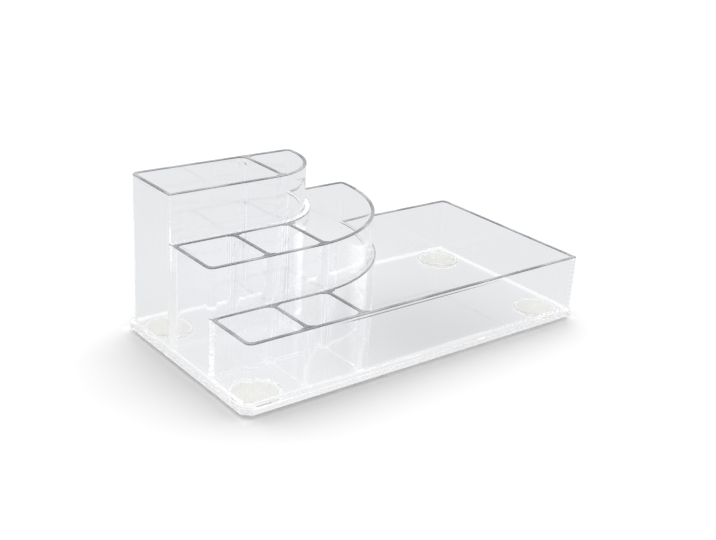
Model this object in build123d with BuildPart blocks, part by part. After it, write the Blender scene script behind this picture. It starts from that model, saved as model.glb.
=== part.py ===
from build123d import *
import os

# A clear makeup organizer: a low tray with a row of small cells beside it, and two taller
# tiers that step up behind the cells. All sizes are in millimetres. The origin is under the
# middle of the base plate, on the surface that the organizer stands on: +X runs along its
# length, +Y to its back and +Z up.

os.makedirs("parts", exist_ok=True)

# Body, over the outer faces of its walls
body_length = 222.0
body_depth = 113.0
wall = 2.0
floor_thickness = 1.5

# Heights of the three rims above the top of the floor
tray_rim = 31.0
middle_rim = 56.0
back_rim = 81.0

# Plan of the two tiers, measured from the body's left and back faces. Each tier's front
# sweeps round to its right end in one arc, and a short flat lies between that arc and the
# rounded corner at the back
middle_tier_length = 137.9
middle_tier_depth = 78.7
middle_end_flat = 0.7
back_tier_length = 98.6
back_tier_depth = 40.5
back_end_flat = 2.2

# Ledge that each lower wall leaves round the tier behind it, and the short flat between
# the ledge's sweep and the back wall
middle_ledge = 2.6
back_ledge = 4.2
ledge_end_flat = 1.2

# Upright dividers, placed by their middle planes from the body's left face
divider_wall = 2.0
first_divider = 35.0
second_divider = 68.3
divider_web = 3.0
web_lip = 0.6

# Rounding of the upright corners and of the rims
outer_radius = 3.5
back_left_radius = 4.5
crisp_radius = 0.8
cell_radius = 3.0
rim_round = 0.4

# Base plate under the body
base_thickness = 3.5
base_overhang = 2.3
base_corner_cut = 4.4
base_edge_cut = 0.4

# Round pads under the base plate, their centres set in from the body's faces
pad_diameter = 25.0
pad_thickness = 2.0
pad_inset = 14.5
pad_edge_round = 0.5

# Bonding line between upright faces
bond_line = 0.1

# Levels above the surface that the organizer stands on
base_bottom = pad_thickness
base_top = base_bottom + base_thickness
floor_top = base_top + floor_thickness

# Front faces of the two tiers and of the ledges before them, from the body's front face
middle_front = body_depth - middle_tier_depth
back_front = body_depth - back_tier_depth
front_cells_back = middle_front - middle_ledge
middle_cells_back = back_front - back_ledge

# Inner faces of the body's right and back walls
right_inside = body_length - wall
back_inside = body_depth - wall

# Radii of the sweeps, at the tiers' outer faces and at the ledges' edges
middle_sweep = middle_tier_depth - outer_radius - middle_end_flat
back_sweep = back_tier_depth - outer_radius - back_end_flat
middle_ledge_sweep = back_inside - front_cells_back - ledge_end_flat
back_ledge_sweep = back_inside - middle_cells_back - ledge_end_flat

# Inner radius of the tiers' rounded corners at the back, which follows the outer one
tier_inner_radius = outer_radius - wall


def body_plane(height):
    """Level plane whose origin is over the body's front left corner."""
    return Plane(origin=(-body_length / 2, -body_depth / 2, height))


def plan_of(corners):
    """Closed plan from its corners, each given as x, y and the radius that rounds it."""
    with BuildSketch() as plan:
        with BuildLine():
            Polyline([(x, y) for x, y, radius in corners], close=True)
        make_face()
        for x, y, radius in corners:
            if radius > 0:
                fillet(plan.vertices().sort_by_distance((x, y))[0], radius)
    return plan.sketch


# Outer plans of the body and of the two tiers
body_plan = plan_of([
    (0, 0, outer_radius),
    (body_length, 0, crisp_radius),
    (body_length, body_depth, outer_radius),
    (0, body_depth, back_left_radius),
])
middle_plan = plan_of([
    (0, middle_front, outer_radius),
    (middle_tier_length, middle_front, middle_sweep),
    (middle_tier_length, body_depth, outer_radius),
    (0, body_depth, back_left_radius),
])
back_plan = plan_of([
    (0, back_front, crisp_radius),
    (back_tier_length, back_front, back_sweep),
    (back_tier_length, body_depth, outer_radius),
    (0, body_depth, back_left_radius),
])

# Inner plans: the space between the walls of each level, before the dividers part it
tray_cells = plan_of([
    (wall, wall, cell_radius),
    (right_inside, wall, crisp_radius),
    (right_inside, back_inside, cell_radius),
    (middle_tier_length + middle_ledge, back_inside, 0),
    (middle_tier_length + middle_ledge, front_cells_back, middle_ledge_sweep),
    (wall, front_cells_back, cell_radius),
])
middle_cells = plan_of([
    (wall, middle_front + wall, cell_radius),
    (middle_tier_length - wall, middle_front + wall, middle_sweep - wall),
    (middle_tier_length - wall, back_inside, tier_inner_radius),
    (back_tier_length + back_ledge, back_inside, 0),
    (back_tier_length + back_ledge, middle_cells_back, back_ledge_sweep),
    (wall, middle_cells_back, cell_radius),
])
back_cells = plan_of([
    (wall, back_front + wall, crisp_radius),
    (back_tier_length - wall, back_front + wall, back_sweep - wall),
    (back_tier_length - wall, back_inside, tier_inner_radius),
    (wall, back_inside, cell_radius),
])


def room_for(length, front, sweep):
    """Plan that a lower wall leaves free for a tier: its outer shape and a bonding line."""
    return plan_of([
        (-outer_radius, front - bond_line, 0),
        (length + bond_line, front - bond_line, sweep + bond_line),
        (length + bond_line, body_depth + outer_radius, 0),
        (-outer_radius, body_depth + outer_radius, 0),
    ])


# Base plate with its four corners cut off
with BuildPart() as base_plate:
    with BuildSketch(Plane.XY.offset(base_bottom)) as base_outline:
        Rectangle(body_length + 2 * base_overhang, body_depth + 2 * base_overhang)
        chamfer(base_outline.vertices(), base_corner_cut)
    extrude(amount=base_thickness)
    chamfer(base_plate.faces().filter_by(Axis.Z).edges(), base_edge_cut)
base_plate.part.label = "base_plate"
export_step(base_plate.part, "parts/base_plate.step")

# Tray shell: the floor of the whole body, and the walls of the front row and the tray
with BuildPart() as tray_shell:
    with BuildSketch(body_plane(base_top)):
        add(body_plan)
    extrude(amount=floor_thickness + tray_rim)
    with BuildSketch(body_plane(floor_top)):
        add(tray_cells)
        add(room_for(middle_tier_length, middle_front, middle_sweep))
    extrude(amount=tray_rim, mode=Mode.SUBTRACT)
    fillet(tray_shell.edges().group_by(Axis.Z)[-1], rim_round)
tray_shell.part.label = "tray_shell"
export_step(tray_shell.part, "parts/tray_shell.step")

# Middle tier shell: stands on the floor, and its ledge meets the back tier
with BuildPart() as middle_tier_shell:
    with BuildSketch(body_plane(floor_top)):
        add(middle_plan)
        add(middle_cells, mode=Mode.SUBTRACT)
        add(room_for(back_tier_length, back_front, back_sweep), mode=Mode.SUBTRACT)
    extrude(amount=middle_rim)
    fillet(middle_tier_shell.edges().group_by(Axis.Z)[-1], rim_round)
middle_tier_shell.part.label = "middle_tier_shell"
export_step(middle_tier_shell.part, "parts/middle_tier_shell.step")

# Back tier shell: the tallest walls, open at the top and closed below by the floor
with BuildPart() as back_tier_shell:
    with BuildSketch(body_plane(floor_top)):
        add(back_plan)
        add(back_cells, mode=Mode.SUBTRACT)
    extrude(amount=back_rim)
    fillet(back_tier_shell.edges().group_by(Axis.Z)[-1], rim_round)
back_tier_shell.part.label = "back_tier_shell"
export_step(back_tier_shell.part, "parts/back_tier_shell.step")

# Dividers: each is a plate across its cells whose two ends widen into bonded webs.
# A row gives its name, the cells that it parts, its middle plane, the two faces that it
# runs between, and its height
back_run = (back_front + wall, back_inside)
middle_run = (middle_front + wall, middle_cells_back)
tray_run = (wall, front_cells_back)
dividers = [
    ("back_tier_divider", back_cells, second_divider, back_run, back_rim),
    ("middle_tier_divider_left", middle_cells, first_divider, middle_run, middle_rim),
    ("middle_tier_divider_right", middle_cells, second_divider, middle_run, middle_rim),
    ("front_row_divider", tray_cells, first_divider, tray_run, tray_rim),
    ("tray_divider", tray_cells, second_divider, tray_run, tray_rim),
]
for name, cells, middle, (front, back), height in dividers:
    with BuildPart() as divider:
        with BuildSketch(body_plane(floor_top)):
            add(cells)
            offset(amount=-bond_line)
            add(plan_of([
                (middle - divider_wall / 2 - divider_web, front - wall, 0),
                (middle + divider_wall / 2 + divider_web, front - wall, 0),
                (middle + divider_wall / 2 + divider_web, back + wall, 0),
                (middle - divider_wall / 2 - divider_web, back + wall, 0),
            ]), mode=Mode.INTERSECT)
            for side in (-1, 1):
                face = middle + side * divider_wall / 2
                clear = face + side * (divider_web + wall)
                add(plan_of([
                    (face, front + web_lip, divider_web),
                    (clear, front + web_lip, 0),
                    (clear, back - web_lip, 0),
                    (face, back - web_lip, divider_web),
                ]), mode=Mode.SUBTRACT)
        extrude(amount=height)
        long_edges = divider.edges().group_by(Axis.Z)[-1].filter_by(Axis.Y).sort_by(SortBy.LENGTH)[-2:]
        fillet(long_edges, rim_round)
    divider.part.label = name
    export_step(divider.part, f"parts/{name}.step")

# Round pads under the four corners of the body
for end, along in (("left", -1), ("right", 1)):
    for face, across in (("front", -1), ("back", 1)):
        with BuildPart() as foot_pad:
            pad_x = along * (body_length / 2 - pad_inset)
            pad_y = across * (body_depth / 2 - pad_inset)
            with BuildSketch(Plane(origin=(pad_x, pad_y, 0))):
                Circle(pad_diameter / 2)
            extrude(amount=pad_thickness)
            fillet(foot_pad.edges().group_by(Axis.Z)[0], pad_edge_round)
        foot_pad.part.label = f"foot_pad_{face}_{end}"
        export_step(foot_pad.part, f"parts/foot_pad_{face}_{end}.step")
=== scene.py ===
# %% [markdown]
# # A clear makeup organizer
# The object is made of clear, glassy plastic: a low tray, a row of two small cells beside it,
# and two taller tiers that step up behind the cells. A clear base plate lies under it all and
# stands on four soft round pads.
#
# The solids come from the CAD model, so this lesson shapes little and finishes a lot. Clear
# plastic has no colour of its own to speak of. What the eye reads is its rims, its rounded
# corners and the way several walls lie one behind the other, so the material and the studio
# light are made together.

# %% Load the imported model
import math

import bpy
from mathutils import Matrix, Vector


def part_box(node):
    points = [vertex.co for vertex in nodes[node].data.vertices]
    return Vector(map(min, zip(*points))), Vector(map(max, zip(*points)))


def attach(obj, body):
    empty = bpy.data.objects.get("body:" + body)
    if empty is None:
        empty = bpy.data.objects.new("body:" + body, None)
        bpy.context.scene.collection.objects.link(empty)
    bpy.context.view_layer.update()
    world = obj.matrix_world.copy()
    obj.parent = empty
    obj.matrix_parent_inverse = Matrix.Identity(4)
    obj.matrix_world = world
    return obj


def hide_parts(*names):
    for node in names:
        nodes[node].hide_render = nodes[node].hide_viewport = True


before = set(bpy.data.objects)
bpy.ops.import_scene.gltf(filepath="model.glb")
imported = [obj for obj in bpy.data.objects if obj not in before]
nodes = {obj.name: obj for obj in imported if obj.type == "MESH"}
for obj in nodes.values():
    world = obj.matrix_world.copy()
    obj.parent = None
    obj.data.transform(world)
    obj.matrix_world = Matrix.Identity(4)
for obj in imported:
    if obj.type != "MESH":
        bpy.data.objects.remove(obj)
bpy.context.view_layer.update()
scene = bpy.context.scene
MM = 0.001
print("nodes:", ", ".join(sorted(nodes)))

# %% [markdown]
# ## Levels
# Every height that the finish needs is read from the model itself: where the base plate
# begins and ends, and the level of each rim. Reading them keeps this file right when a size
# in the model changes.

# %% Read the levels
plate_low, plate_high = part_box("base_plate")
rim_level = {
    "tray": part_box("tray_shell")[1].z,
    "middle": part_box("middle_tier_shell")[1].z,
    "back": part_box("back_tier_shell")[1].z,
}
print("plate", round(plate_low.z / MM, 2), "to", round(plate_high.z / MM, 2), "mm")
print("rims", {name: round(level / MM, 2) for name, level in rim_level.items()}, "mm")

# %% [markdown]
# ## Camera
# The photograph was taken from in front of the left corner and from a little above. The
# place, the tilt and the focal length below were worked out from the rims, whose corners and
# arcs are sharp in the picture. The three angles are in radians.

# %% Place the camera
SENSOR_WIDTH = 36.0
FOCAL_LENGTH = 55.41
NEAREST_SEEN = 0.01
FARTHEST_SEEN = 50.0
CAMERA_PLACE = Vector((-358.7, -430.8, 260.7)) * MM
HEADING = 0.68984
PITCH = 0.38765
ROLL = 0.06667

ahead = Vector((
    math.sin(HEADING) * math.cos(PITCH), math.cos(HEADING) * math.cos(PITCH), -math.sin(PITCH)))
level_right = Vector((math.cos(HEADING), -math.sin(HEADING), 0.0))
level_up = level_right.cross(ahead)
right = math.cos(ROLL) * level_right + math.sin(ROLL) * level_up
up = math.cos(ROLL) * level_up - math.sin(ROLL) * level_right

camera_data = bpy.data.cameras.new("camera")
camera_data.sensor_width = SENSOR_WIDTH
camera_data.lens = FOCAL_LENGTH
camera_data.clip_start = NEAREST_SEEN
camera_data.clip_end = FARTHEST_SEEN
camera = bpy.data.objects.new("camera", camera_data)
scene.collection.objects.link(camera)
turn = Matrix((right, up, -ahead)).transposed().to_4x4()
camera.matrix_world = Matrix.Translation(CAMERA_PLACE) @ turn
scene.camera = camera
print("camera looks", tuple(round(value, 3) for value in ahead))

# %% [markdown]
# ## Node helpers
# Every finish in this lesson is a tree of nodes. Most steps in such a tree are alike: a node
# is added, a few of its values are set, and its inputs are joined to earlier nodes. Four
# helpers take up that work, so that each finish reads like a recipe.


# %% Add nodes
def new_material(name):
    """A material with an empty node tree and its output node."""
    material = bpy.data.materials.new(name)
    material.use_nodes = True
    tree = material.node_tree
    tree.nodes.clear()
    return material, tree, tree.nodes.new("ShaderNodeOutputMaterial")


def add_node(tree, kind, settings=None, values=None, links=None):
    """One node, with its settings, its unlinked values and its incoming links."""
    node = tree.nodes.new(kind)
    for name, value in (settings or {}).items():
        setattr(node, name, value)
    for socket, value in (values or {}).items():
        node.inputs[socket].default_value = value
    for socket, source in (links or {}).items():
        tree.links.new(source, node.inputs[socket])
    return node


print("node helpers ready")


# %% Work with values
def ramp(tree, value, start, end, low=0.0, high=1.0, shape="SMOOTHSTEP"):
    """A soft step of a value, from low at start to high at end."""
    step = add_node(tree, "ShaderNodeMapRange", {"interpolation_type": shape}, {
        "From Min": start, "From Max": end, "To Min": low, "To Max": high}, {"Value": value})
    return step.outputs["Result"]


def combine(tree, operation, first, second=0.0):
    """The result of one operation on two values, each a number or a socket."""
    node = add_node(tree, "ShaderNodeMath", {"operation": operation})
    for slot, part in enumerate((first, second)):
        if isinstance(part, (int, float)):
            node.inputs[slot].default_value = part
        else:
            tree.links.new(part, node.inputs[slot])
    return node.outputs["Value"]


print("value helpers ready")

# %% [markdown]
# ## Dark rims
# In the photograph the rims are the only dark lines. A rim is dark from outside, where the
# rounded edge turns the eye's ray away from the bright table. Seen from inside the wall it
# hands light on, so the dark band is painted on the outer side alone. On a wide ledge only
# the edge is dark, and the flat of the ledge stays clear. Noise makes the band a little
# fainter here and there.
#
# The tray's front wall gets a second, thinner dark line just below the rim, painted shade that
# stands for the inner edge of the rim seen through the wall. It fades towards the tray's right
# end.


# %% Measure out from a tier
def ledge_distance(tree, axes, sweep):
    """Distance in plan from the face of the tier that stands behind a ledge."""
    centre_x, centre_y, radius = sweep
    along = combine(tree, "MAXIMUM", combine(tree, "SUBTRACT", axes["X"], centre_x))
    across = combine(tree, "MAXIMUM", combine(tree, "SUBTRACT", centre_y, axes["Y"]))
    plan = add_node(tree, "ShaderNodeCombineXYZ", links={"X": along, "Y": across})
    reach = add_node(tree, "ShaderNodeVectorMath", {"operation": "LENGTH"},
                     links={"Vector": plan.outputs["Vector"]})
    return combine(tree, "SUBTRACT", reach.outputs["Value"], radius)


print("ledges are measured from the tiers behind them")

# %% Paint the second rim line as shade
SECOND_DROP = 1.85 * MM
SECOND_HALF = 0.5 * MM
SECOND_SHADE = 1.0
SECOND_START = (-60.0 * MM, -48.0 * MM)
SECOND_END = (10.0 * MM, 65.0 * MM)
WALL_SKIN = 0.3 * MM
FRONT_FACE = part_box("tray_shell")[0].y


def painted_second_rim(tree, axes, level):
    """How dark the painted second rim line is: a thin band of painted shade, gone at either
    end.
    """
    away = combine(tree, "SUBTRACT", axes["Z"], level - SECOND_DROP)
    line = ramp(tree, combine(tree, "ABSOLUTE", away), 0.0, SECOND_HALF, SECOND_SHADE, 0.0)
    front = ramp(tree, axes["Y"], FRONT_FACE, FRONT_FACE + WALL_SKIN, 1.0, 0.0)
    begun = ramp(tree, axes["X"], *SECOND_START)
    fade = ramp(tree, axes["X"], *SECOND_END, 1.0, 0.0)
    for part in (front, begun, fade):
        line = combine(tree, "MULTIPLY", line, part)
    return line


print("second line", round(SECOND_DROP / MM, 2), "mm below the tray's rim")

# %% Paint the rims
RIM_DEPTH = 0.72 * MM
RIM_ROUND = 0.12 * MM
RIM_FLAT = 0.96
LEDGE_FLAT = 0.12
LEDGE_EDGE = 1.1 * MM
RIM_CHANGE = {"Scale": 45.0, "Detail": 1.0}
RIM_CHANGE_SPAN = (0.35, 0.6)
RIM_FAINTEST = 0.86


def rim_painted_shade(tree, place, axes, level, ledge):
    """How dark the painted rim shade is at each point: 0 for clear wall, 1 for the full shade.
    """
    # The rim's darkness is painted shade: a dark band in the base colour just under the rim
    # level.
    band = ramp(tree, axes["Z"], level - RIM_DEPTH, level - RIM_DEPTH / 2)
    flat = RIM_FLAT
    if ledge:
        sweep, width = ledge
        flat = ramp(tree, ledge_distance(tree, axes, sweep), width - 2 * LEDGE_EDGE,
                    width - LEDGE_EDGE / 2, LEDGE_FLAT, RIM_FLAT)
    top = ramp(tree, axes["Z"], level - RIM_ROUND, level - RIM_ROUND / 10)
    faded = combine(tree, "MULTIPLY", top, combine(tree, "SUBTRACT", 1.0, flat))
    band = combine(tree, "MULTIPLY", band, combine(tree, "SUBTRACT", 1.0, faded))
    change = add_node(tree, "ShaderNodeTexNoise", values=RIM_CHANGE, links={"Vector": place})
    band = combine(tree, "MULTIPLY", band, ramp(
        tree, change.outputs["Fac"], *RIM_CHANGE_SPAN, RIM_FAINTEST, 1.0))
    # On the tray the painted second rim line joins the painted rim shade.
    if level == rim_level["tray"]:
        band = combine(tree, "MAXIMUM", band, painted_second_rim(tree, axes, level))
    inside = add_node(tree, "ShaderNodeNewGeometry").outputs["Backfacing"]
    return combine(tree, "MULTIPLY", band, combine(tree, "SUBTRACT", 1.0, inside))


print("rim band", round(RIM_DEPTH / MM, 2), "mm deep")

# %% [markdown]
# ## Shadows of clear plastic
# A lamp's shadow ray can't follow the bending of light in a solid. Left alone it calls clear
# plastic opaque, and the shadow under it goes black. The organizer stands on white paper and
# does throw a soft grey shadow, so its shadow rays pass with a large loss.

# %% Let lamps through
SHADOW_LEFT = 0.6


def let_lamps_through(tree, finish, output):
    """End a material so that shadow rays pass straight through it with a loss."""
    shadow = add_node(tree, "ShaderNodeBsdfTransparent", values={
        "Color": (SHADOW_LEFT, SHADOW_LEFT, SHADOW_LEFT, 1.0)})
    path = add_node(tree, "ShaderNodeLightPath")
    mix = add_node(tree, "ShaderNodeMixShader", links={
        0: path.outputs["Is Shadow Ray"], 1: finish.outputs["BSDF"], 2: shadow.outputs["BSDF"]})
    tree.links.new(mix.outputs["Shader"], output.inputs["Surface"])


print("each face leaves", SHADOW_LEFT, "of a lamp's light")

# %% [markdown]
# ## Clear plastic
# The walls are clear acrylic with a refractive index of 1.49. Light bends where it enters
# and leaves, and runs along inside a wall as in a light guide. Only a shader that bends light
# shows that, so the walls are real refracting solids and not see-through sheets.
#
# A wall is never quite flat: a wide, faint ripple bends its reflections, and fine wiping
# marks vary the gloss. The base plate is cut from sheet, so its narrow edges are a little
# matt and gather the light into one soft white band.

# %% Make the clear plastic
CLEAR_INDEX = 1.49
WALL_TINT = (0.996, 0.997, 1.0, 1.0)
# RIM_SHADE is the colour of the painted shade on the rims.
RIM_SHADE = (0.092, 0.098, 0.109, 1.0)
RIM_CLEAR = 0.2
RIPPLE = {"Scale": 55.0, "Detail": 1.5, "Roughness": 0.4}
RIPPLE_BEND = {"Strength": 0.06, "Distance": 0.4 * MM}
WIPING = {"Scale": 900.0, "Detail": 4.0, "Roughness": 0.65}
WIPING_SPAN = (0.35, 0.8)
WIPING_MATT = 0.03
PLATE_EDGE_MATT = 0.25
PLATE_EDGE_TURN = (0.2, 0.9)


def matt_edges(tree, strength):
    """How matt a plate's edges are: full on upright faces, none on level ones."""
    facing = add_node(tree, "ShaderNodeNewGeometry").outputs["Normal"]
    upward = add_node(tree, "ShaderNodeSeparateXYZ", links={"Vector": facing}).outputs["Z"]
    return ramp(tree, combine(tree, "ABSOLUTE", upward), *PLATE_EDGE_TURN, strength, 0.0)


def clear_plastic(name, level=None, ledge=None, edge_matt=0.0):
    """Clear plastic with painted rim shade at a level, or with matt upright edges."""
    material, tree, output = new_material(name)
    place = add_node(tree, "ShaderNodeTexCoord").outputs["Object"]
    axes = add_node(tree, "ShaderNodeSeparateXYZ", links={"Vector": place}).outputs
    ripple = add_node(tree, "ShaderNodeTexNoise", values=RIPPLE, links={"Vector": place})
    bend = add_node(tree, "ShaderNodeBump", values=RIPPLE_BEND,
                    links={"Height": ripple.outputs["Fac"]})
    wiping = add_node(tree, "ShaderNodeTexNoise", values=WIPING, links={"Vector": place})
    gloss = ramp(tree, wiping.outputs["Fac"], *WIPING_SPAN, 0.0, WIPING_MATT, "LINEAR")
    if edge_matt:
        gloss = combine(tree, "ADD", gloss, matt_edges(tree, edge_matt))
    plastic = add_node(tree, "ShaderNodeBsdfPrincipled", values={
        "Base Color": WALL_TINT, "IOR": CLEAR_INDEX, "Transmission Weight": 1.0}, links={
        "Roughness": gloss, "Normal": bend.outputs["Normal"]})
    if level is not None:
        # Painted shade: the rim band turns the base colour towards RIM_SHADE and lowers
        # transmission.
        rim = rim_painted_shade(tree, place, axes, level, ledge)
        shade = add_node(tree, "ShaderNodeMix", {"data_type": "RGBA"}, {
            "A": WALL_TINT, "B": RIM_SHADE}, {"Factor": rim})
        tree.links.new(shade.outputs["Result"], plastic.inputs["Base Color"])
        tree.links.new(ramp(tree, rim, 0.0, 1.0, 1.0, RIM_CLEAR, "LINEAR"),
                       plastic.inputs["Transmission Weight"])
    let_lamps_through(tree, plastic, output)
    return material


print("clear plastic bends light by an index of", CLEAR_INDEX)

# %% Finish each clear piece
# The sweep that rounds a tier's front is given by its centre and radius in plan, and the
# ledge before it by its width
MIDDLE_SWEEP = (-47.6 * MM, 52.3 * MM, 74.5 * MM)
BACK_SWEEP = (-47.2 * MM, 50.8 * MM, 34.8 * MM)
TRAY_LEDGE = 2.6 * MM
MIDDLE_LEDGE = 4.2 * MM
clear_base = clear_plastic("clear_base", edge_matt=PLATE_EDGE_MATT)
clear_tray = clear_plastic("clear_tray", rim_level["tray"], (MIDDLE_SWEEP, TRAY_LEDGE))
clear_middle = clear_plastic("clear_middle", rim_level["middle"], (BACK_SWEEP, MIDDLE_LEDGE))
clear_back = clear_plastic("clear_back", rim_level["back"])
finishes = {
    "base_plate": clear_base,
    "tray_shell": clear_tray,
    "front_row_divider": clear_tray,
    "tray_divider": clear_tray,
    "middle_tier_shell": clear_middle,
    "middle_tier_divider_left": clear_middle,
    "middle_tier_divider_right": clear_middle,
    "back_tier_shell": clear_back,
    "back_tier_divider": clear_back,
}
nodes["tray_shell"].data.materials.clear()
nodes["tray_shell"].data.materials.append(clear_tray)
print("clear finishes:", sorted({finish.name for finish in finishes.values()}))

# %% [markdown]
# ## Seats between bonded pieces
# The clear pieces touch face to face: the body on the base plate, and the tiers and dividers
# on the floor. Where two faces of clear plastic lie at one level, a render can't tell whether
# light leaves the first piece or enters the second, and dark blotches come out. The usual cure
# is a hair's gap, as thin as a bonding film.
#
# A small geometry tree makes that gap. It merges the doubled points of the CAD mesh, moves
# the face at one level by the gap and gives the piece its finish. The result is baked to a
# plain mesh that stands for the CAD node. Weighted normals keep its broad flat faces flat in
# their reflections, right up to the small rounded edges. The tray shell keeps its own mesh,
# because every gap lies in the pieces round it.


# %% Start and end a geometry tree
def new_tree(name, inputs):
    """An empty geometry tree with named inputs, and its input and output nodes."""
    tree = bpy.data.node_groups.new(name, "GeometryNodeTree")
    tree.interface.new_socket("Geometry", in_out="INPUT", socket_type="NodeSocketGeometry")
    for label, kind in inputs:
        tree.interface.new_socket(label, in_out="INPUT", socket_type=kind)
    tree.interface.new_socket("Geometry", in_out="OUTPUT", socket_type="NodeSocketGeometry")
    return tree, tree.nodes.new("NodeGroupInput"), tree.nodes.new("NodeGroupOutput")


def end_tree(tree, given, shape, result):
    """End a geometry tree: make its shape real and give it the finish."""
    whole = add_node(tree, "GeometryNodeRealizeInstances", links={"Geometry": shape})
    finished = add_node(tree, "GeometryNodeSetMaterial", links={
        "Geometry": whole.outputs["Geometry"], "Material": given.outputs["Finish"]})
    tree.links.new(finished.outputs["Geometry"], result.inputs["Geometry"])


print("geometry helpers ready")

# %% Build the seating tree
SEAT_GAP = 0.03 * MM
SAME_LEVEL = 0.01 * MM
SAME_POINT = 0.001 * MM


def make_seating_tree():
    """Merges a copied CAD mesh and moves the face at one level by a hair."""
    tree, given, result = new_tree("seated piece", [
        ("Face level", "NodeSocketFloat"), ("Lift", "NodeSocketFloat"),
        ("Finish", "NodeSocketMaterial")])
    merged = add_node(tree, "GeometryNodeMergeByDistance", values={"Distance": SAME_POINT},
                      links={"Geometry": given.outputs["Geometry"]})
    spot = add_node(tree, "GeometryNodeInputPosition")
    height = add_node(tree, "ShaderNodeSeparateXYZ", links={"Vector": spot.outputs["Position"]})
    chosen = add_node(tree, "FunctionNodeCompare", {
        "data_type": "FLOAT", "operation": "EQUAL"}, {"Epsilon": SAME_LEVEL}, {
        "A": height.outputs["Z"], "B": given.outputs["Face level"]})
    offset = add_node(tree, "ShaderNodeCombineXYZ", links={"Z": given.outputs["Lift"]})
    moved = add_node(tree, "GeometryNodeSetPosition", links={
        "Geometry": merged.outputs["Geometry"], "Selection": chosen.outputs["Result"],
        "Offset": offset.outputs["Vector"]})
    end_tree(tree, given, moved.outputs["Geometry"], result)
    return tree


seating_tree = make_seating_tree()
print("seating tree has", len(seating_tree.nodes), "nodes")


# %% Run a tree and place its result
def shape_by_tree(obj, tree, values):
    """Run a geometry tree on an object and keep the result as its plain mesh."""
    step = obj.modifiers.new(tree.name, "NODES")
    step.node_group = tree
    for item in tree.interface.items_tree:
        if item.in_out == "INPUT" and item.name in values:
            step[item.identifier] = values[item.name]
    even = obj.modifiers.new("even normals", "WEIGHTED_NORMAL")
    even.keep_sharp = True
    graph = bpy.context.evaluated_depsgraph_get()
    baked = bpy.data.meshes.new_from_object(
        obj.evaluated_get(graph), preserve_all_data_layers=True, depsgraph=graph)
    obj.modifiers.clear()
    obj.data = baked


def bare_copy(name, mesh):
    """A new object at the origin from a copy of a mesh, without its baked normals."""
    mesh = mesh.copy()
    if "custom_normal" in mesh.attributes:
        mesh.attributes.remove(mesh.attributes["custom_normal"])
    piece = bpy.data.objects.new(name, mesh)
    scene.collection.objects.link(piece)
    return piece


def stand_for(piece, node):
    """Let a finished piece take the place of a CAD node."""
    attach(piece, "root")
    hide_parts(node)


print("seats leave a gap of", round(SEAT_GAP / MM, 3), "mm")

# %% Seat the clear pieces
for node, finish in finishes.items():
    if node == "tray_shell":
        continue
    low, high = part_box(node)
    level, lift = (high.z, -SEAT_GAP) if node == "base_plate" else (low.z, SEAT_GAP)
    piece = bare_copy("clear_" + node, nodes[node].data)
    shape_by_tree(piece, seating_tree, {"Face level": level, "Lift": lift, "Finish": finish})
    stand_for(piece, node)
    print(piece.name, "seated at", round((level + lift) / MM, 2), "mm")

# %% [markdown]
# ## Soft pads
# Four round pads keep the organizer from sliding. Through the clear floor each one shows as a
# milky, cream disc inside a whiter ring: the pad is slightly dished, so only its ring touches
# the plate above.
#
# A pad is a turned part, so a geometry tree turns it. The piece itself starts as the pad's
# half profile, a line of points from the middle of its underside round to the middle of its
# top. The tree lays a grid with one column for each step of the turn, looks up each column's
# points on the profile, and merges the seam and the two poles.

# %% Build the turning tree
TURN_STEPS = 96


def turned_point(tree, given, profile, count):
    """Where each point of the grid goes: its profile point, turned by its column's angle."""
    index = add_node(tree, "GeometryNodeInputIndex").outputs["Index"]
    column = combine(tree, "FLOOR", combine(tree, "DIVIDE", index, count))
    row = combine(tree, "MODULO", index, count)
    spot = add_node(tree, "GeometryNodeInputPosition").outputs["Position"]
    found = add_node(tree, "GeometryNodeSampleIndex", {"data_type": "FLOAT_VECTOR"}, links={
        "Geometry": profile, "Value": spot, "Index": row})
    axes = add_node(tree, "ShaderNodeSeparateXYZ", links={
        "Vector": found.outputs["Value"]}).outputs
    share = combine(tree, "DIVIDE", column, given.outputs["Steps"])
    angle = combine(tree, "MULTIPLY", share, 2 * math.pi)
    turned = add_node(tree, "ShaderNodeCombineXYZ", links={
        "X": combine(tree, "MULTIPLY", axes["X"], combine(tree, "COSINE", angle)),
        "Y": combine(tree, "MULTIPLY", axes["X"], combine(tree, "SINE", angle)),
        "Z": axes["Z"]})
    placed = add_node(tree, "ShaderNodeVectorMath", {"operation": "ADD"}, links={
        0: turned.outputs["Vector"], 1: given.outputs["Centre"]})
    return placed.outputs["Vector"]


def make_turning_tree():
    """Turns a half profile in the XZ plane round an upright axis."""
    tree, given, result = new_tree("turned pad", [
        ("Steps", "NodeSocketInt"), ("Centre", "NodeSocketVector"),
        ("Finish", "NodeSocketMaterial")])
    profile = given.outputs["Geometry"]
    count = add_node(tree, "GeometryNodeAttributeDomainSize", {"component": "MESH"},
                     links={"Geometry": profile}).outputs["Point Count"]
    columns = combine(tree, "ADD", given.outputs["Steps"], 1)
    grid = add_node(tree, "GeometryNodeMeshGrid", links={
        "Vertices X": columns, "Vertices Y": count})
    shaped = add_node(tree, "GeometryNodeSetPosition", links={
        "Geometry": grid.outputs["Mesh"],
        "Position": turned_point(tree, given, profile, count)})
    merged = add_node(tree, "GeometryNodeMergeByDistance", values={"Distance": SAME_POINT},
                      links={"Geometry": shaped.outputs["Geometry"]})
    smooth = add_node(tree, "GeometryNodeSetShadeSmooth", links={
        "Geometry": merged.outputs["Geometry"]})
    end_tree(tree, given, smooth.outputs["Geometry"], result)
    return tree


turning_tree = make_turning_tree()
print("turning tree has", len(turning_tree.nodes), "nodes")

# %% Draw the pad's half profile
PAD_FOOT_ROUND = 0.5 * MM
PAD_TOP_ROUND = 0.35 * MM
PAD_RING = 1.5 * MM
PAD_DISH = 0.45 * MM
ROUND_STEPS = 5


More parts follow.
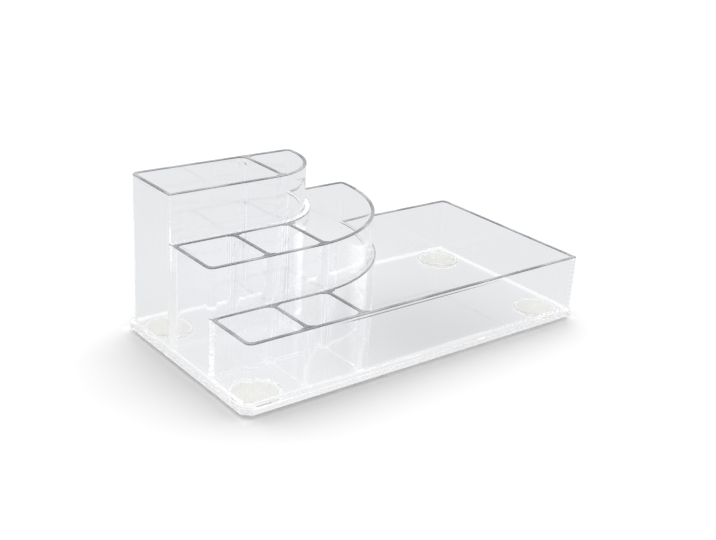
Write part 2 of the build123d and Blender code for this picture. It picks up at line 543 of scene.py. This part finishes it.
def quarter(centre_x, centre_z, radius, start):
    """Points of a quarter round, turning left from a start angle in degrees."""
    angles = [math.radians(start + 90 * step / ROUND_STEPS) for step in range(ROUND_STEPS + 1)]
    return [(centre_x + radius * math.cos(angle), centre_z + radius * math.sin(angle))
            for angle in angles]


def pad_profile(radius, top):
    """Half profile of a pad, from the middle of its underside to the middle of its top."""
    inner = radius - PAD_RING
    points = [(0.0, 0.0)]
    points += quarter(radius - PAD_FOOT_ROUND, PAD_FOOT_ROUND, PAD_FOOT_ROUND, -90)
    points += quarter(radius - PAD_TOP_ROUND, top - PAD_TOP_ROUND, PAD_TOP_ROUND, 0)
    points += [(inner, top), (inner - PAD_DISH, top - PAD_DISH), (0.0, top - PAD_DISH)]
    return points


pad_low, pad_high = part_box("foot_pad_back_right")
pad_middle = (pad_low + pad_high) / 2
pad_radius = (pad_high.x - pad_low.x) / 2
print("pads are", round(2 * pad_radius / MM, 1), "mm across and stand",
      round(pad_middle.x / MM, 1), "and", round(pad_middle.y / MM, 1), "mm out")

# %% [markdown]
# ## Pad finish
# The pads are soft, translucent plastic. Light from the table comes up through them and
# leaves cloudy and faintly cream. A slow noise varies the cream, a fine one the bloom on the
# skin, and the ring that touches the plate is whiter than the dish. The bloom fades out at the
# pad's edge, which stays clear, so that no light is lost there and no dark outline forms.

# %% Colour the pads
PAD_CREAM = (1.0, 0.985, 0.89, 1.0)
PAD_MILK = (1.0, 0.995, 0.94, 1.0)
PAD_WHITE = (1.0, 1.0, 1.0, 1.0)
CLOUDS = {"Scale": 160.0, "Detail": 2.0}
CLOUD_SPAN = (0.35, 0.65)


def pad_colour(tree, place, axes):
    """Cloudy cream in the dish, and white on the ring that touches the plate."""
    clouds = add_node(tree, "ShaderNodeTexNoise", values=CLOUDS, links={"Vector": place})
    cream = add_node(tree, "ShaderNodeMix", {"data_type": "RGBA"}, {
        "A": PAD_CREAM, "B": PAD_MILK}, {
        "Factor": ramp(tree, clouds.outputs["Fac"], *CLOUD_SPAN)})
    ring = add_node(tree, "ShaderNodeMix", {"data_type": "RGBA"}, {"B": PAD_WHITE}, {
        "Factor": ramp(tree, axes["Z"], plate_low.z - PAD_DISH, plate_low.z - PAD_DISH / 4),
        "A": cream.outputs["Result"]})
    return ring.outputs["Result"]


print("pad cream", PAD_CREAM[:3])

# %% Dull the pads' skin
BLOOM = {"Scale": 1400.0, "Detail": 3.0}
BLOOM_SPAN = (0.3, 0.7)
BLOOM_MATT = (0.12, 0.24)
PAD_EDGE_START = 1.6 * MM
PAD_EDGE_CLEAR = 0.6 * MM


def pad_matt(tree, bloom, axes):
    """How matt the skin is: a bloom that fades out at the pad's edge."""
    out_x = combine(tree, "SUBTRACT", combine(tree, "ABSOLUTE", axes["X"]), pad_middle.x)
    out_y = combine(tree, "SUBTRACT", combine(tree, "ABSOLUTE", axes["Y"]), pad_middle.y)
    out = add_node(tree, "ShaderNodeCombineXYZ", links={"X": out_x, "Y": out_y})
    from_middle = add_node(tree, "ShaderNodeVectorMath", {"operation": "LENGTH"},
                           links={"Vector": out.outputs["Vector"]}).outputs["Value"]
    matt = ramp(tree, bloom, *BLOOM_SPAN, *BLOOM_MATT, "LINEAR")
    return combine(tree, "MULTIPLY", matt, ramp(
        tree, from_middle, pad_radius - PAD_EDGE_START, pad_radius - PAD_EDGE_CLEAR, 1.0, 0.0))


print("bloom ends", round(PAD_EDGE_CLEAR / MM, 1), "mm inside the edge")

# %% Make the pad finish
PAD_INDEX = 1.41
PAD_CLARITY = 0.97
SKIN_GRAIN = {"Strength": 0.15, "Distance": 0.05 * MM}


def soft_pad():
    """Soft, milky plastic for the pads."""
    material, tree, output = new_material("soft_pad")
    place = add_node(tree, "ShaderNodeTexCoord").outputs["Object"]
    axes = add_node(tree, "ShaderNodeSeparateXYZ", links={"Vector": place}).outputs
    bloom = add_node(tree, "ShaderNodeTexNoise", values=BLOOM,
                     links={"Vector": place}).outputs["Fac"]
    skin = add_node(tree, "ShaderNodeBump", values=SKIN_GRAIN, links={"Height": bloom})
    pad = add_node(tree, "ShaderNodeBsdfPrincipled", values={
        "IOR": PAD_INDEX, "Transmission Weight": PAD_CLARITY}, links={
        "Base Color": pad_colour(tree, place, axes), "Normal": skin.outputs["Normal"],
        "Roughness": pad_matt(tree, bloom, axes)})
    let_lamps_through(tree, pad, output)
    return material


pad_material = soft_pad()
print("pad finish has", len(pad_material.node_tree.nodes), "nodes")

# %% Turn the pads
for node in sorted(name for name in nodes if name.startswith("foot_pad")):
    low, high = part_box(node)
    profile = pad_profile((high.x - low.x) / 2, high.z - SEAT_GAP)
    mesh = bpy.data.meshes.new(node)
    mesh.from_pydata([(x, 0.0, z) for x, z in profile],
                     [(step, step + 1) for step in range(len(profile) - 1)], [])
    piece = bpy.data.objects.new("soft_" + node, mesh)
    scene.collection.objects.link(piece)
    shape_by_tree(piece, turning_tree, {
        "Steps": TURN_STEPS, "Centre": ((low.x + high.x) / 2, (low.y + high.y) / 2, 0.0),
        "Finish": pad_material})
    stand_for(piece, node)
    print(piece.name, len(piece.data.polygons), "faces")

# %% [markdown]
# ## Light table
# The photograph is cut out on pure white, yet the backdrop seen through every wall is a soft
# grey-white. Both come from one floor: where the camera sees it directly it is white paper, and
# where a ray has been through the plastic it meets a glowing table, a little less bright than
# paper. The table's glow is painted light: brighter in front than behind, with a painted pool
# of light behind the tiers and a painted shadow under the front of the tray, as the walls in
# the picture show.

# %% Lay the floor
FLOOR_SIZE = 60.0
FLOOR_DROP = 0.05 * MM

bpy.ops.mesh.primitive_plane_add(size=FLOOR_SIZE, location=(0, 0, -FLOOR_DROP))
floor = bpy.context.object
floor.name = "floor"
floor_material, floor_tree, floor_output = new_material("floor")
place = add_node(floor_tree, "ShaderNodeTexCoord").outputs["Object"]
axes = add_node(floor_tree, "ShaderNodeSeparateXYZ", links={"Vector": place}).outputs
side_x = combine(floor_tree, "ABSOLUTE", axes["X"])
side_y = combine(floor_tree, "ABSOLUTE", axes["Y"])
body_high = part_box("tray_shell")[1]
outline = combine(floor_tree, "MAXIMUM",
                  combine(floor_tree, "SUBTRACT", side_x, body_high.x),
                  combine(floor_tree, "SUBTRACT", side_y, body_high.y))
print("floor laid", round(FLOOR_DROP / MM, 2), "mm below the pads")

# %% Light the table
# The table's glow is painted light: brighter in front than behind, with a painted pool of light
# and a painted shadow.
TABLE_FRONT = 0.94
TABLE_BACK = 0.85
TABLE_FALL = (-250.0 * MM, 50.0 * MM)
PAINTED_LIGHT_SPOT = (10.0 * MM, 100.0 * MM)
PAINTED_LIGHT_REACH = 110.0 * MM
PAINTED_LIGHT_GLOW = 0.085
PAINTED_SHADOW_SPOT = (20.0 * MM, -40.0 * MM)
PAINTED_SHADOW_REACH = 100.0 * MM
PAINTED_SHADOW_LOSS = 0.24
PAINTED_SHADOW_EDGE = (-12.0 * MM, -2.0 * MM)


def distance_from(tree, point, spot):
    """Distance of a point from a spot on the table."""
    away = add_node(tree, "ShaderNodeVectorMath", {"operation": "DISTANCE"},
                    {1: (*spot, 0.0)}, {0: point})
    return away.outputs["Value"]


# Painted light: the glow falls from front to back, and a painted pool of light lies behind the
# tiers.
glow = ramp(floor_tree, axes["Y"], *TABLE_FALL, TABLE_FRONT, TABLE_BACK)
from_painted_light = distance_from(floor_tree, place, PAINTED_LIGHT_SPOT)
glow = combine(floor_tree, "ADD", glow, ramp(
    floor_tree, from_painted_light, 0.0, PAINTED_LIGHT_REACH, PAINTED_LIGHT_GLOW, 0.0))
# Painted shadow: the glow is lowered under the front of the tray, inside the body's outline.
from_painted_shadow = distance_from(floor_tree, place, PAINTED_SHADOW_SPOT)
loss = combine(floor_tree, "MULTIPLY",
               ramp(floor_tree, from_painted_shadow, 0.0, PAINTED_SHADOW_REACH, PAINTED_SHADOW_LOSS, 0.0),
               ramp(floor_tree, outline, *PAINTED_SHADOW_EDGE, 1.0, 0.0))
glow = combine(floor_tree, "SUBTRACT", glow, loss)
print("table glows", TABLE_FRONT, "in front to", TABLE_BACK, "behind")

# %% [markdown]
# ## Painted lines of light
# Clear plastic gathers light along its edges and throws it on the paper as bright lines. Here
# those lines are painted light, glowing on the floor. Through the floor of the tray they show
# as the white lines at the foot of each wall, and beside the plate a painted glow on the paper
# lifts the darkest part of the shadow. Under each pad a painted glow stands for the light the
# pad gathers, most of all under its ring. The outline and the pads lie evenly about the middle,
# so one quarter of the table is drawn and mirrored.

# %% Paint the lines of light
FOOT_LINE_OUT = 2.2 * MM
FOOT_LINE_REACH = 3.5 * MM
PAINTED_FOOT_GLOW = 0.31
PAD_REACH = 18.0 * MM
PAINTED_PAD_GLOW = 0.12
RING_REACH = 2.0 * MM
PAINTED_RING_GLOW = 0.2


def painted_line_of_light(tree, value, centre, reach, strength):
    """A soft line of painted light: full where a value is at its centre, and gone at its reach.
    """
    away = combine(tree, "ABSOLUTE", combine(tree, "SUBTRACT", value, centre))
    return ramp(tree, away, 0.0, reach, strength, 0.0)


mirrored = add_node(floor_tree, "ShaderNodeCombineXYZ", links={"X": side_x, "Y": side_y})
from_pad = distance_from(floor_tree, mirrored.outputs["Vector"], pad_middle.xy)
# Painted light on the table: a white line just outside the body's outline, a disc under each
# pad and a ring under its rim.
for value, *line in ((outline, FOOT_LINE_OUT, FOOT_LINE_REACH, PAINTED_FOOT_GLOW),
                     (from_pad, 0.0, PAD_REACH, PAINTED_PAD_GLOW),
                     (from_pad, pad_radius - PAD_RING / 2, RING_REACH, PAINTED_RING_GLOW)):
    glow = combine(floor_tree, "ADD", glow, painted_line_of_light(floor_tree, value, *line))
print("lines of light", round(FOOT_LINE_OUT / MM, 1), "mm outside the body")

# %% Finish the floor
PAPER = 0.476
TABLE_COLOUR = (0.955, 0.963, 0.977, 1.0)
PAINTED_GLOW_COLOUR = (1.0, 1.0, 1.0, 1.0)
PAINTED_GLOW_REACH = 6.0 * MM
PAINTED_GLOW_STRENGTH = 0.12

table = add_node(floor_tree, "ShaderNodeEmission", values={"Color": TABLE_COLOUR},
                 links={"Strength": glow})
paper = add_node(floor_tree, "ShaderNodeBsdfDiffuse", values={
    "Color": (PAPER, PAPER, PAPER, 1.0)})
# Painted light on the paper: a white glow along the body's outline lifts the darkest part of
# the contact shadow.
painted_paper_glow = add_node(floor_tree, "ShaderNodeEmission", values={"Color": PAINTED_GLOW_COLOUR}, links={
    "Strength": painted_line_of_light(floor_tree, outline, 0.0, PAINTED_GLOW_REACH, PAINTED_GLOW_STRENGTH)})
paper_and_painted_glow = add_node(floor_tree, "ShaderNodeAddShader", links={
    0: paper.outputs["BSDF"], 1: painted_paper_glow.outputs["Emission"]})
path = add_node(floor_tree, "ShaderNodeLightPath")
either = add_node(floor_tree, "ShaderNodeMixShader", links={
    0: path.outputs["Is Camera Ray"], 1: table.outputs["Emission"],
    2: paper_and_painted_glow.outputs["Shader"]})
floor_tree.links.new(either.outputs["Shader"], floor_output.inputs["Surface"])
floor.data.materials.append(floor_material)
print("floor staged, paper", PAPER)

# %% [markdown]
# ## Studio light
# A white tent surrounds the table: dim near its foot and bright overhead, so that flat tops
# and rounded edges catch light. To the left and to the right it glows more, which gives the
# upright corners and the sweeps of the tiers their white streaks.
#
# One very wide lamp stands behind and above. It is switched off for reflections, because a
# lamp's disc would show in the flat floor, and its only work is the soft shadow that the
# object throws towards the camera.

# %% Light the tent
TENT_SIDE = 0.8
TENT_TOP = 1.8
TENT_RISE = (0.35, 0.85)
STRIP_EDGE = (0.86, 0.94)
STRIP_GLOW = 1.2
TENT_WHITE = (1.0, 1.0, 1.0, 1.0)

world = bpy.data.worlds.new("studio")
scene.world = world
world.use_nodes = True
tent_tree = world.node_tree
tent_tree.nodes.clear()
toward = add_node(tent_tree, "ShaderNodeTexCoord").outputs["Generated"]
way = add_node(tent_tree, "ShaderNodeSeparateXYZ", links={"Vector": toward}).outputs
tent = ramp(tent_tree, way["Z"], *TENT_RISE, TENT_SIDE, TENT_TOP)
sideways = combine(tent_tree, "ABSOLUTE", way["X"])
tent = combine(tent_tree, "ADD", tent, ramp(
    tent_tree, sideways, *STRIP_EDGE, 0.0, STRIP_GLOW))
path = add_node(tent_tree, "ShaderNodeLightPath")
seen = add_node(tent_tree, "ShaderNodeMix", {"data_type": "FLOAT"}, {"B": 1.0}, {
    "Factor": path.outputs["Is Camera Ray"], "A": tent})
background = add_node(tent_tree, "ShaderNodeBackground", values={"Color": TENT_WHITE},
                      links={"Strength": seen.outputs["Result"]})
add_node(tent_tree, "ShaderNodeOutputWorld",
         links={"Surface": background.outputs["Background"]})
print("tent", TENT_SIDE, "to", TENT_TOP)

# %% Hang the wide lamp
LAMP_STRENGTH = 4.15
LAMP_WIDTH = 110.0
LAMP_AIM = Vector((-0.53, -0.83, -0.9))

lamp_data = bpy.data.lights.new("wide_lamp", "SUN")
lamp_data.energy = LAMP_STRENGTH
lamp_data.angle = math.radians(LAMP_WIDTH)
lamp = bpy.data.objects.new("wide_lamp", lamp_data)
lamp.rotation_euler = LAMP_AIM.to_track_quat("-Z", "Y").to_euler()
lamp.visible_glossy = False
lamp.visible_transmission = False
scene.collection.objects.link(lamp)
print("lamp", LAMP_STRENGTH, "over", LAMP_WIDTH, "degrees")

# %% [markdown]
# ## Paths of light
# Light caught in a wall bounces hundreds of times before it finds a way out. A renderer that
# gives up sooner leaves black dots along the rims and the foot, so the limits are raised. The
# plain view transform keeps the white paper white.

# %% Raise the bounce limits
BOUNCES = 256
SEE_THROUGH_BOUNCES = 64

scene.view_settings.view_transform = "Standard"
scene.cycles.max_bounces = BOUNCES
scene.cycles.transmission_bounces = BOUNCES
scene.cycles.glossy_bounces = BOUNCES
scene.cycles.transparent_max_bounces = SEE_THROUGH_BOUNCES
print("bounce limit", BOUNCES)
